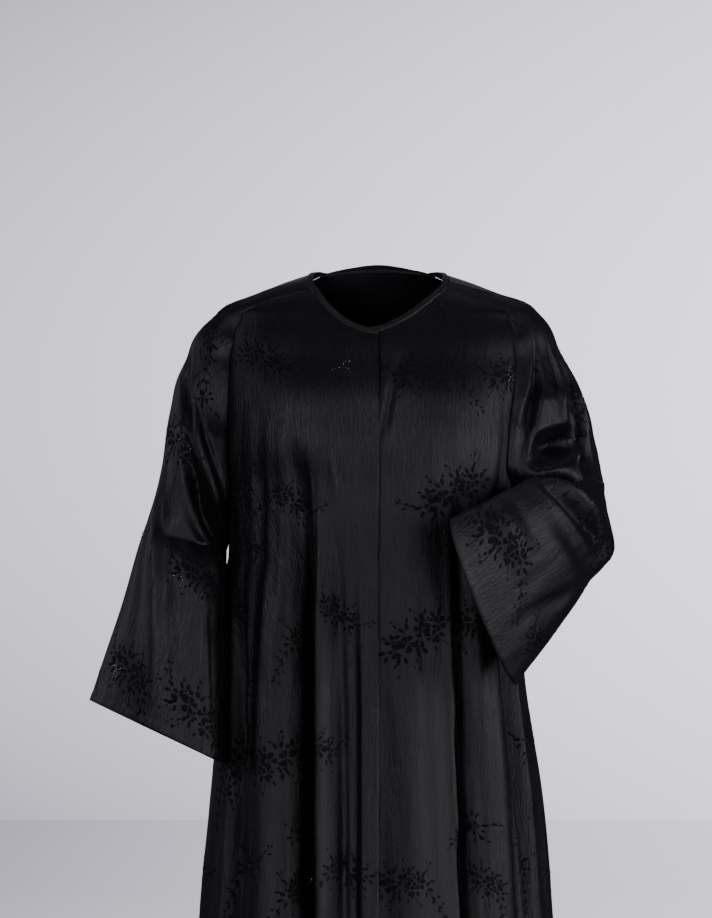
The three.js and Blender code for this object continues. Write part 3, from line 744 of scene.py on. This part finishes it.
def neck_binding():
    """A narrow rolled tape on the neck edges, from the left front's underlap round to the right front."""
    edge, rise, normal, lowered = [], [], [], []
    for name in ("front_left", "sleeve_left", "back", "sleeve_right", "front_right"):
        part = garment[name]
        last = None if name == "front_right" else -1
        edge.append(part["points"][0, :last])
        rise.append(unit(part["points"][0, :last] - part["points"][3, :last]))
        normal.append(part["normals"][0, :last])
        lowered.append(np.full((len(edge[-1]), 1), BINDING_DROP if name.startswith("sleeve") else 0.0))
    edge, rise, normal, lowered = (np.concatenate(parts) for parts in (edge, rise, normal, lowered))
    reach = 15
    window = np.ones(2 * reach + 1) / (2 * reach + 1)

    def soften(rows):
        padded = np.pad(rows, ((reach, reach), (0, 0)), mode="edge")
        columns = [np.convolve(column, window, mode="valid") for column in padded.T]
        return np.stack(columns, axis=1)

    rise = unit(soften(rise) * 5 + np.array([0, 0, BINDING_UPRIGHT]))
    normal = unit(soften(normal))
    t = np.linspace(0, 1, 11)
    heights = (BINDING_WIDTH * (0.60 - t))[:, None] - soften(lowered)[:, 0]
    out = 0.0013 * smooth_step(0.1, 0.6, t) + 0.0007 * np.sin(math.pi * t) - 0.0021 * smooth_step(0.7, 1, t)
    points = edge[None] + rise[None] * heights[:, :, None] + normal[None] * out[:, None, None]
    normals = np.broadcast_to(normal[None], points.shape)
    cloth = cloth_coordinates(points, 0)
    garment["neck_binding"] = {"points": points, "normals": normals, "cloth": cloth,
                               "piece": sheet("cloth_neck_binding", points, normals, cloth, BINDING_SATIN)}


neck_binding()


# ---------------- motifs, in cloth coordinates

# Leaves and buds of a spray: where the stalk end is in mm, heading in degrees, length and width.
LEAF_COLUMNS = "x y heading length width"
SPRAY_LEAVES = table(LEAF_COLUMNS, [
    (-40, -6, 196, 10.4, 6.2), (-37, -2, 150, 9.6, 6.2), (-36, -9, 244, 9.6, 5.9), (-44, 3, 172, 7.2, 4.7),
    (-31, 9, 124, 10.4, 6.6), (-27, 10, 84, 9.6, 5.9), (-35, 15, 146, 7.2, 5.1),
    (-13, 14, 108, 10.4, 6.6), (-9, 15, 68, 8.8, 5.9), (-18, 20, 132, 7.2, 4.7),
    (7, 12, 100, 10.4, 6.6), (11, 12, 54, 9.6, 6.2), (4, 21, 118, 6.4, 4.3), (17, 20, 62, 6.4, 4.3),
    (26, 9, 76, 9.6, 6.2), (30, 7, 34, 9.6, 6.2), (34, 14, 52, 6.4, 4.3),
    (40, 1, 12, 10.4, 6.2), (40, -4, -30, 9.6, 5.9), (47, 5, 40, 6.4, 4.3),
    (28, -10, -50, 10.4, 6.6), (24, -12, -92, 9.6, 6.2), (34, -16, -30, 7.2, 4.7),
    (6, -12, -74, 9.6, 6.2), (1, -13, -116, 10.4, 6.2), (10, -20, -58, 6.4, 4.3),
    (-18, -9, -96, 9.6, 6.2), (-23, -8, -136, 8.8, 5.9), (-14, -18, -80, 7.2, 4.7),
    (-46, -17, 214, 8, 5.1), (-48, -20, 262, 7.2, 4.7), (-53, -18, 170, 6.4, 4.3),
    (-55, -29, 206, 8, 5.1), (-56, -32, 256, 7.2, 4.7), (-60, -28, 150, 5.6, 3.9),
    (-63, -42, 216, 7.2, 4.7), (-64, -46, 262, 6.4, 4.3), (-58, -44, 290, 5.6, 3.9),
    (-71, -58, 232, 7.2, 4.7), (-69, -55, 176, 5.6, 3.9), (-66, -60, 282, 5.6, 3.9),
    (53, 10, 52, 6.4, 4.3), (57, 9, 4, 6.4, 4.3), (62, 17, 36, 5.6, 3.9), (60, 18, 92, 4.8, 3.5),
    (-6, 30, 96, 4.8, 3.5), (20, 27, 70, 4.8, 3.5), (-44, 25, 118, 4.8, 3.5), (-40, 27, 70, 4, 3.1),
    (12, -31, -70, 4.8, 3.5), (-30, -25, -104, 4.8, 3.5), (38, -28, -60, 4.8, 3.5), (16, -28, -20, 4, 3.1),
])
# Blossoms: the middle in mm, the petals' length and a turn in degrees.
BLOSSOM_COLUMNS = "x y petal turn"
SPRAY_BLOSSOMS = table(BLOSSOM_COLUMNS, [
    (-28, 1, 8.5, 10),
    (-8, 4, 9.5, 40),
    (13, 0, 10, 0),
    (31, -2, 8.5, 24),
    (-15, -8, 7, 66),
    (2, -8, 6.5, 20),
    (-18, 11, 6, 50),
    (23, 8, 6, 5),
])
# Twigs, each as points in mm.
SPRAY_TWIGS = [
    [(-74, -62), (-64, -44), (-54, -27), (-44, -12), (-28, 0), (-8, 5),
     (13, 1), (34, 0), (46, 2), (56, 12), (64, 22)],
    [(-28, 1), (-36, 13), (-45, 30)],
    [(-8, 4), (-14, 18), (-6, 34)],
    [(13, 0), (9, 16), (20, 31)],
    [(31, -2), (29, 13)],
    [(31, -2), (30, -14), (38, -32)],
    [(-13, -8), (-21, -13), (-31, -30)],
    [(13, 0), (4, -16), (12, -36)],
]
SPRIG_LEAVES = table(LEAF_COLUMNS, [
    (-8, 8, 128, 8.8, 5.5), (-10, 4, 170, 8, 5.1), (-3, 10, 92, 8, 5.1),
    (8, 9, 56, 8.8, 5.5), (10, 4, 12, 8.8, 5.5), (-8, -7, -136, 8.8, 5.5),
    (8, -7, -46, 8, 5.1), (3, -10, -86, 8.8, 5.5), (-3, -9, -112, 6.4, 4.3),
    (16, 17, 46, 5.6, 3.9), (-17, -15, 214, 5.6, 3.9), (-22, -22, 232, 5.6, 3.9), (-19, -20, 160, 4.8, 3.5),
    (1, -21, -88, 5.6, 3.9), (-2, 22, 96, 4.8, 3.5), (19, 14, 4, 4.8, 3.5),
])
SPRIG_BLOSSOMS = table(BLOSSOM_COLUMNS, [(0, 0, 8.5, 14)])
SPRIG_TWIGS = [
    [(-26, -27), (-12, -9), (0, 0), (10, 10), (20, 22)],
    [(0, 0), (2, -12), (1, -26)],
    [(0, 0), (-2, 27)],
]
# A short cluster of beads: places that are spread by BEAD_SPREAD metres.
BEAD_PLACES = [(-9, -3), (-6.6, -1.2), (-4, -0.2), (-1.6, 0.9), (0.8, 1.2), (3.1, 0.2), (5.2, -1.4),
               (-2.4, 4.2), (-0.6, 6.1), (2.0, 7.2), (4.6, -5.0), (1.2, -3.6)]
BEAD_SPREAD = 0.0015
BEAD_RADIUS = 0.00075
PETAL_HEIGHT = 0.00042
PETAL_SINK = -0.00012
PETALS = 5


def patch(stalk, heading, length, width, blunt):
    """A pillowed leaf or petal as rows of points; blunt ones are widest near the tip."""
    along = np.array([0, 0.22, 0.52, 0.82, 1.0])[:, None]
    shape = along ** (1.3 if blunt else 0.8) * (1 - along) ** (0.45 if blunt else 0.75)
    half = width / 2 * shape / shape.max()
    side = np.array([-1, 0, 1])[None, :]
    x, y = np.broadcast_arrays(along * length, side * half)
    high = (1 - side * side) * np.minimum(1, 4 * along * (1.15 - along))
    z = PETAL_SINK + (PETAL_HEIGHT - PETAL_SINK) * high
    turn = math.radians(heading)
    return np.stack([stalk[0] + x * math.cos(turn) - y * math.sin(turn),
                     stalk[1] + x * math.sin(turn) + y * math.cos(turn), z], axis=-1)


def ribbon(path, width):
    """A thin twig along a rounded path."""
    path = np.array(path) * 0.001
    steps = np.linspace(0, len(path) - 1, 3 * len(path) - 2)
    middle = np.stack([np.interp(steps, np.arange(len(path)), path[:, k]) for k in (0, 1)], axis=-1)
    middle[1:-1] = (middle[:-2] + middle[1:-1] * 2 + middle[2:]) / 4
    run = unit(np.gradient(middle, axis=0))
    aside = np.stack([-run[:, 1], run[:, 0]], axis=-1) * width / 2
    rows = [np.concatenate([middle + aside * k, np.full((len(middle), 1), h)], axis=1)
            for k, h in ((-1, PETAL_SINK), (0, PETAL_HEIGHT * 0.7), (1, PETAL_SINK))]
    return np.stack(rows, axis=1)


def grids_to_mesh(name, grids, mirror):
    """One mesh from grids of points, turned left for right when asked."""
    verts, faces = [], []
    for grid in grids:
        rows, columns = grid.shape[:2]
        index = len(verts) + np.arange(rows * columns).reshape(rows, columns)
        quads = np.stack([index[:-1, :-1], index[1:, :-1], index[1:, 1:], index[:-1, 1:]], axis=-1)
        faces += quads.reshape(-1, 4)[:, ::(-1 if mirror else 1)].tolist()
        verts += (grid.reshape(-1, 3) * ((-1 if mirror else 1), 1, 1)).tolist()
    mesh = bpy.data.meshes.new(name)
    mesh.from_pydata(verts, [], faces)
    mesh.shade_smooth()
    return bpy.data.objects.new(name, mesh)


def spray(name, leaves, blossoms, twigs, mirror=False):
    grids = [ribbon(path, 0.0011) for path in twigs]
    for x, y, heading, length, width in zip(*leaves.values()):
        grids.append(patch((x * 0.001, y * 0.001), heading, length * 0.001, width * 0.001, False))
    for x, y, petal, turn in zip(*blossoms.values()):
        for k in range(PETALS):
            heading = turn + k * 360 / PETALS + 13 * math.sin(3 * k + turn)
            start = (x * 0.001 + 0.0008 * math.cos(math.radians(heading)),
                     y * 0.001 + 0.0008 * math.sin(math.radians(heading)))
            size = petal * 0.001 * (1 + 0.16 * math.sin(5 * k + turn))
            grids.append(patch(start, heading, size, size * 0.95, True))
    return grids_to_mesh(name, grids, mirror)


def ball(middle, radius, turns=6, levels=4):
    lift = np.linspace(-math.pi / 2, math.pi / 2, levels + 1)[:, None]
    turn = np.linspace(0, 2 * math.pi, turns + 1)[None, :]
    ring = radius * np.cos(lift)
    x, y = middle[0] + ring * np.cos(turn), middle[1] + ring * np.sin(turn)
    return np.stack(np.broadcast_arrays(x, y, radius * (0.7 + np.sin(lift))), axis=-1)


def bead_cluster(name):
    beads = [ball((x * BEAD_SPREAD, y * BEAD_SPREAD), BEAD_RADIUS) for x, y in BEAD_PLACES]
    return grids_to_mesh(name, beads, False)


def stitch(name, length=0.0024, radius=0.00028):
    """One stitch lying across the cloth."""
    along = np.linspace(-1, 1, 7)[:, None]
    turn = np.linspace(0, math.pi, 5)[None, :]
    round_end = np.sqrt(np.clip(1 - np.abs(along) ** 3, 0, 1))
    grid = np.stack(np.broadcast_arrays(along * length / 2, -radius * np.cos(turn),
                                        radius * (1.3 * np.sin(turn) * round_end - 0.25)), axis=-1)
    return grids_to_mesh(name, [grid], False)


class Tree:
    """A geometry node tree, filled by one method."""

    def __init__(self, name):
        self.tree = bpy.data.node_groups.new(name, "GeometryNodeTree")
        self.sockets = {}

    def socket(self, name, kind):
        self.sockets[name] = self.tree.interface.new_socket(name, in_out="INPUT", socket_type=kind).identifier

    def add(self, kind, settings=None, inputs=None):
        node = self.tree.nodes.new(kind)
        for name, value in (settings or {}).items():
            setattr(node, name, value)
        for key, value in (inputs or {}).items():
            if isinstance(value, bpy.types.NodeSocket):
                self.tree.links.new(value, node.inputs[key])
            else:
                node.inputs[key].default_value = value
        return node.outputs

    def maths(self, operation, a, b=0.0):
        return self.add("ShaderNodeMath", {"operation": operation}, {0: a, 1: b})[0]


def lay_on_cloth():
    """Repeats a flat motif in cloth coordinates, then lays it on a sheet by the sheet's UV map."""
    tree = Tree("lay_on_cloth")
    for name, kind in {"Geometry": "Geometry", "Sheet": "Object", "Motif": "Object", "Material": "Material",
                       "Across": "Float", "Up": "Float", "First Across": "Float", "First Up": "Float",
                       "Columns": "Int", "Rows": "Int", "Stagger": "Float", "Wander": "Float",
                       "Turn": "Float", "Share": "Float", "Smallest": "Float", "Seed": "Int"}.items():
        tree.socket(name, f"NodeSocket{kind}")
    tree.tree.interface.new_socket("Geometry", in_out="OUTPUT", socket_type="NodeSocketGeometry")
    add, maths = tree.add, tree.maths
    given = add("NodeGroupInput")
    wide = maths("MULTIPLY", given["Across"], maths("SUBTRACT", given["Columns"], 1.0))
    tall = maths("MULTIPLY", given["Up"], maths("SUBTRACT", given["Rows"], 1.0))
    grid = add("GeometryNodeMeshGrid", {},
               {"Size X": wide, "Size Y": tall, "Vertices X": given["Columns"],
                "Vertices Y": given["Rows"]})["Mesh"]
    index = add("GeometryNodeInputIndex")[0]
    column = maths("FLOOR", maths("DIVIDE", index, given["Rows"]))
    row = maths("SUBTRACT", index, maths("MULTIPLY", column, given["Rows"]))
    odd = maths("MODULO", row, 2.0)
    x = maths("ADD", given["First Across"], maths("MULTIPLY", column, given["Across"]))
    x = maths("ADD", x, maths("MULTIPLY", odd, given["Stagger"]))
    y = maths("ADD", given["First Up"], maths("MULTIPLY", row, given["Up"]))
    place = add("ShaderNodeCombineXYZ", {}, {0: x, 1: y})[0]
    reach = add("ShaderNodeCombineXYZ", {}, {0: given["Wander"], 1: given["Wander"]})[0]
    back = add("ShaderNodeVectorMath", {"operation": "SCALE"}, {0: reach, "Scale": -1.0})[0]
    wander = add("FunctionNodeRandomValue", {"data_type": "FLOAT_VECTOR"},
                 {"Min": back, "Max": reach, "Seed": given["Seed"]})[0]
    place = add("ShaderNodeVectorMath", {"operation": "ADD"}, {0: place, 1: wander})[0]
    points = add("GeometryNodeSetPosition", {}, {"Geometry": grid, "Position": place})[0]
    chosen = add("FunctionNodeRandomValue", {"data_type": "BOOLEAN"},
                 {"Probability": given["Share"], "Seed": given["Seed"]})[3]
    low = maths("MULTIPLY", given["Turn"], -1.0)
    swing = add("FunctionNodeRandomValue", {"data_type": "FLOAT"},
                {2: low, 3: given["Turn"], "Seed": given["Seed"]})[1]
    turn = add("ShaderNodeCombineXYZ", {}, {2: swing})[0]
    size = add("FunctionNodeRandomValue", {"data_type": "FLOAT"},
               {2: given["Smallest"], 3: 1.08, "Seed": given["Seed"]})[1]
    motif = add("GeometryNodeObjectInfo", {}, {"Object": given["Motif"]})["Geometry"]
    copies = add("GeometryNodeInstanceOnPoints", {}, {"Points": points, "Selection": chosen,
                                                      "Instance": motif, "Rotation": turn,
                                                      "Scale": size})[0]
    flat = add("GeometryNodeRealizeInstances", {}, {"Geometry": copies})[0]
    here = add("GeometryNodeInputPosition")[0]
    flat = add("GeometryNodeStoreNamedAttribute", {"data_type": "FLOAT2", "domain": "CORNER"},
               {"Geometry": flat, "Name": "cloth", "Value": here})[0]
    height = add("ShaderNodeSeparateXYZ", {}, {"Vector": here})[2]
    cloth = add("GeometryNodeObjectInfo", {}, {"Object": given["Sheet"]})["Geometry"]
    uv = add("GeometryNodeInputNamedAttribute", {"data_type": "FLOAT_VECTOR"}, {"Name": "cloth"})[0]
    normal = add("GeometryNodeInputNormal")[0]
    spot, facing = (add("GeometryNodeSampleUVSurface", {"data_type": "FLOAT_VECTOR"},
                        {"Mesh": cloth, "Value": value, "UV Map": uv, "Sample UV": here})
                    for value in (here, normal))
    off_cloth = add("FunctionNodeBooleanMath", {"operation": "NOT"}, {0: spot["Is Valid"]})[0]
    kept = add("GeometryNodeDeleteGeometry", {"domain": "POINT"},
               {"Geometry": flat, "Selection": off_cloth})[0]
    rise = add("ShaderNodeVectorMath", {"operation": "SCALE"}, {0: facing[0], "Scale": height})[0]
    laid_at = add("ShaderNodeVectorMath", {"operation": "ADD"}, {0: spot[0], 1: rise})[0]
    laid = add("GeometryNodeSetPosition", {}, {"Geometry": kept, "Position": laid_at})[0]
    dressed = add("GeometryNodeSetMaterial", {}, {"Geometry": laid, "Material": given["Material"]})[0]
    add("NodeGroupOutput", {}, {0: dressed})
    return tree


LAY = lay_on_cloth()


def trim(name, sheet_name, motif, material, **numbers):
    """Lays copies of a motif on one sheet as one plain mesh and adds it to the trims."""
    piece = bpy.data.objects.new(name, bpy.data.meshes.new(name))
    bpy.context.collection.objects.link(piece)
    layer = piece.modifiers.new("lay_on_cloth", "NODES")
    layer.node_group = LAY.tree
    values = {"Sheet": garment[sheet_name]["piece"], "Motif": motif, "Material": material, "Stagger": 0.0,
              "Wander": 0.0, "Turn": 0.0, "Share": 1.0, "Smallest": 1.0, "Seed": 1,
              **{key.replace("_", " ").title(): value for key, value in numbers.items()}}
    for key, value in values.items():
        layer[LAY.sockets[key]] = value
    bpy.context.view_layer.update()
    plain = bpy.data.meshes.new_from_object(piece.evaluated_get(bpy.context.evaluated_depsgraph_get()))
    piece.modifiers.clear()
    piece.data = plain
    trims.append((piece, sheet_name))


trims = []
# Repeats of the woven design: a row of sprays every 157 mm up the cloth, and sprigs between them.
ROW_RISE = 0.157
SPRAY_STEP = 0.122
ROW_STAGGER = 0.45
SPRIG_ACROSS, SPRIG_UP = 0.036, 0.076
STITCH_STEP = 0.0036
MOTIFS = {mirror: {"spray": spray(f"spray_{mirror:d}", SPRAY_LEAVES, SPRAY_BLOSSOMS, SPRAY_TWIGS, mirror),
                   "sprig": spray(f"sprig_{mirror:d}", SPRIG_LEAVES, SPRIG_BLOSSOMS, SPRIG_TWIGS, mirror)}
          for mirror in (False, True)}
BEAD_CLUSTER = bead_cluster("bead_cluster")
STITCH = stitch("stitch")
# Per sheet: mirrored, first spray across, columns, first row up, rows, share of motifs with beads.
TRIM_LAYOUT = {
    "front_right": (False, -0.655, 6, 0.080, 9, 0.16),
    "front_left": (True, 0.073, 6, 0.080, 9, 0.16),
    "back": (False, -0.610, 11, 0.080, 10, 0.14),
    "sleeve_right": (False, -0.305, 6, 0.050, 4, 0.55),
    "sleeve_left": (True, -0.270, 6, 0.050, 4, 0.45),
}


def trim_sheets():
    for seed, (name, (mirror, first, columns, low, rows, beaded)) in enumerate(TRIM_LAYOUT.items()):
        cloth = garment[name]["cloth"]
        motifs = MOTIFS[mirror]
        side = 1 if mirror else -1
        grid = {"across": SPRAY_STEP, "up": ROW_RISE, "columns": columns, "rows": rows,
                "stagger": side * SPRAY_STEP * ROW_STAGGER}
        trim(f"sprays_{name}", name, motifs["spray"], FLOWERS, first_across=first, first_up=low,
             wander=0.024, turn=0.55, share=0.90, smallest=0.72, seed=seed, **grid)
        trim(f"sprigs_{name}", name, motifs["sprig"], FLOWERS,
             first_across=first + SPRIG_ACROSS * side, first_up=low + SPRIG_UP,
             wander=0.032, turn=1.1, share=0.62, smallest=0.7, seed=seed + 20, **grid)
        trim(f"beads_{name}", name, BEAD_CLUSTER, BEADS, first_across=first, first_up=low - 0.004,
             wander=0.016, turn=1.2, share=beaded, seed=seed + 40, **grid)
        hem = CUFF_HEM if name.startswith("sleeve") else FRONT_HEM
        low_u, high_u = float(cloth[-1, :, 0].min()), float(cloth[-1, :, 0].max())
        trim(f"stitches_{name}", name, STITCH, THREAD, first_across=low_u + 0.002, first_up=hem,
             columns=int((high_u - low_u - 0.003) / STITCH_STEP), rows=1,
             across=STITCH_STEP, up=1.0, seed=seed)
    for motif in [BEAD_CLUSTER, STITCH] + [m for pair in MOTIFS.values() for m in pair.values()]:
        bpy.data.meshes.remove(motif.data)


trim_sheets()


def add_thickness(piece, thickness):
    wall = piece.modifiers.new("thickness", "SOLIDIFY")
    wall.thickness = thickness
    wall.offset = -1
    wall.use_even_offset = False


for name, part in garment.items():
    add_thickness(part["piece"], CLOTH)


# ---------------- attach the pieces to the root and hide the solids

def declare(name, part):
    points = part["points"]
    cloth = part["cloth"]
    diagonal_a = points[1:, 1:] - points[:-1, :-1]
    diagonal_b = points[1:, :-1] - points[:-1, 1:]
    flat = tuple(float(cloth[:, :, k].max() - cloth[:, :, k].min()) for k in (0, 1))
    slot = "binding_cloth" if name == "neck_binding" else "cloak_cloth"
    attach(part["piece"], "root")
    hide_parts(name)


for name, part in garment.items():
    declare(name, part)
for piece, _ in trims:
    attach(piece, "root")


# ---------------- stage, light, camera

FLOOR_REACH = 7
DOME_RADIUS = 12
DOME_GLOW_REACH = 10.2
VIEW_DISTANCE = 4.0
VIEW_HEIGHT = 1.147
SENSOR = 36


def stage_mesh(name, verts, faces, material):
    mesh = bpy.data.meshes.new(name)
    mesh.from_pydata(verts, [], faces)
    mesh.shade_smooth()
    mesh.materials.append(material)
    piece = bpy.data.objects.new(name, mesh)
    bpy.context.collection.objects.link(piece)
    return piece


def stage():
    """A pale floor under the hem and a dome round it, both glowing with painted studio light. Neither lights
    the cloth.
    """
    z = HEM_Z - 0.02
    r, turns = DOME_RADIUS, 64
    levels = np.radians(np.linspace(-16, 90, 16))
    verts = [(r * math.cos(a) * math.cos(t), r * math.cos(a) * math.sin(t), r * math.sin(a))
             for a in levels for t in np.linspace(0, 2 * math.pi, turns, endpoint=False)]
    corners = ((0, 0), (1, 0), (1, 1), (0, 1))
    faces = [[(i + di) * turns + (j + dj) % turns for di, dj in corners]
             for i in range(len(levels) - 1) for j in range(turns)]
    dome = stage_mesh("dome", verts, faces, studio_glow("pale_backdrop", 0.0, 1.0, DOME_GLOW_REACH))
    r = FLOOR_REACH
    floor = stage_mesh("floor", [(-r, -r, z), (r, -r, z), (r, r, z), (-r, r, z)], [(0, 1, 2, 3)],
                       studio_glow("pale_floor", 0.5, 0.9, FLOOR_REACH))
    for piece in (dome, floor):
        piece.visible_diffuse = False
        piece.visible_glossy = False
    dome.visible_shadow = False


def area_light(name, place, target, size, power):
    light = bpy.data.lights.new(name, "AREA")
    light.shape = "RECTANGLE"
    light.size, light.size_y = size
    light.energy = power
    light.color = (0.93, 0.92, 1.0)
    lamp = bpy.data.objects.new(name, light)
    lamp.location = place
    lamp.rotation_euler = (Vector(target) - Vector(place)).to_track_quat("-Z", "Y").to_euler()
    bpy.context.collection.objects.link(lamp)


stage()
area_light("key", (-2.8, -4.1, 1.1), (0, 0, -0.3), (1.9, 2.2), 56)
area_light("fill", (2.1, -4.3, 0.3), (0, 0, -0.3), (1.2, 2.0), 24)
area_light("low", (1.5, -3.2, -1.5), (0.15, -0.1, -0.35), (1.2, 0.9), 22)
area_light("top", (0.2, 0.3, 2.2), (0, 0, 0), (1.6, 1.2), 4)
area_light("side", (3.3, -1.2, 0.1), (0.2, 0, -0.3), (0.9, 2.0), 34)
area_light("rim_right", (-3.0, 1.6, 0.6), (0, 0, -0.4), (0.8, 2.2), 9)
area_light("behind", (0.0, 4.6, 0.8), (0, 0, -0.4), (2.6, 2.4), 14)
world = bpy.data.worlds.new("studio")
bpy.context.scene.world = world
world.use_nodes = True
background = world.node_tree.nodes["Background"].inputs
background["Color"].default_value = (0.80, 0.80, 0.84, 1)
background["Strength"].default_value = 0.03

camera_data = bpy.data.cameras.new("camera")
camera_data.sensor_fit = "VERTICAL"
camera_data.sensor_height = SENSOR
camera_data.lens = SENSOR * VIEW_DISTANCE / VIEW_HEIGHT
camera = bpy.data.objects.new("camera", camera_data)
camera.location = (-0.027, -VIEW_DISTANCE, -0.230)
camera.rotation_euler = (math.pi / 2, 0, 0)
bpy.context.collection.objects.link(camera)
bpy.context.scene.camera = camera
